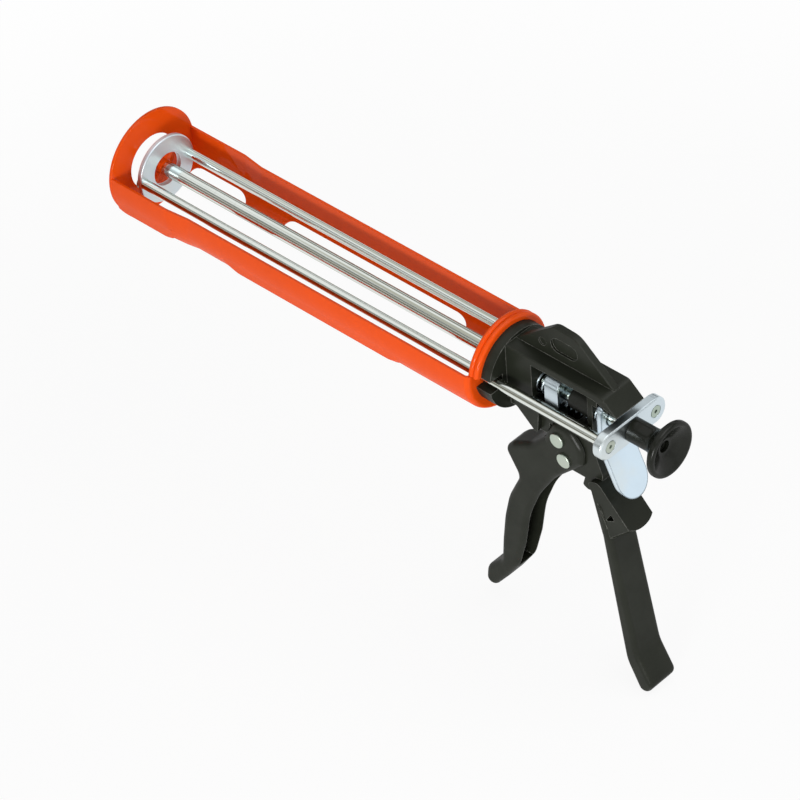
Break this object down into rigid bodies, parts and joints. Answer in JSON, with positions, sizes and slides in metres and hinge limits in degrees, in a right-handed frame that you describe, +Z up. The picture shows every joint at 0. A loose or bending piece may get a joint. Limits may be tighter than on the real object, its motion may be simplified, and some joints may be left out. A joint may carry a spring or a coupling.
{
  "type": "coaxial cartridge applicator gun",
  "caption": "Hand-operated gun with an open pressed cradle, three push rods on a yoke, a spring-returned trigger and a release plate, for coaxial two-part cartridges.",
  "frame": {"origin": "centre of the nose hole on the front plate's inner face, where the cartridge's shoulder seats", "axes": "+X along the rods towards the nose, +Y to the user's left, +Z up, away from the handle"},
  "size_m": [0.3904, 0.0652, 0.2246],
  "materials": {
    "orange_paint": "gloss orange-red coating on pressed sheet steel",
    "black_casting": "satin black coating on cast metal",
    "zinc_plate": "bright zinc plating",
    "rod_steel": "bright drawn steel",
    "spring_steel": "bright spring wire",
    "black_knob": "gloss black moulded plastic",
    "black_bush": "matt black plastic"
  },
  "bodies": {
    "frame": {"front_plate": "orange_paint", "cradle_shell": "orange_paint", "rear_rim": "orange_paint", "wall_screws": "zinc_plate", "body_casting": "black_casting", "guide_sleeve": "black_bush", "return_spring": "spring_steel", "pawl_spring": "spring_steel", "release_spring": "spring_steel"},
    "trigger": {"trigger": "black_casting", "pivot_pin": "zinc_plate", "drive_pin": "zinc_plate", "pin_clips": "spring_steel"},
    "drive": {"drive_cage": "zinc_plate", "gripping_plates": "zinc_plate"},
    "rods": {"centre_rod": "rod_steel", "push_rod_left": "rod_steel", "push_rod_right": "rod_steel", "ring_pusher": "rod_steel", "pusher_screws": "zinc_plate", "inner_pusher": "orange_paint", "yoke_plate": "zinc_plate", "yoke_screws": "zinc_plate", "pull_knob": "black_knob", "knob_screw": "zinc_plate"},
    "release": {"release_plate": "zinc_plate"}
  },
  "joints": [
    {"name": "trigger_pull", "type": "hinge", "parent": "frame", "child": "trigger", "pos_m": [-0.3186, 0, -0.04], "axis": [0, 1, 0], "range_deg": [0, 28], "stiffness_Nm_per_rad": 0.6, "springref_deg": -20.05},
    {"name": "drive_feed", "type": "slide", "parent": "frame", "child": "drive", "axis": [1, 0, 0], "range_m": [0, 0.0052], "deforming": ["return_spring", "pawl_spring"]},
    {"name": "rod_stroke", "type": "slide", "parent": "frame", "child": "rods", "axis": [1, 0, 0], "range_m": [-0.25, 0]},
    {"name": "release_press", "type": "hinge", "parent": "frame", "child": "release", "pos_m": [-0.34465, 0, 0.0092], "axis": [0, -1, 0], "range_deg": [0, 7], "stiffness_Nm_per_rad": 1.2, "springref_deg": -6.88, "deforming": ["release_spring"]}
  ],
  "couplings": [
    {"joint": "drive_feed", "follows": "trigger_pull", "m_per_rad": 0.010522}
  ]
}
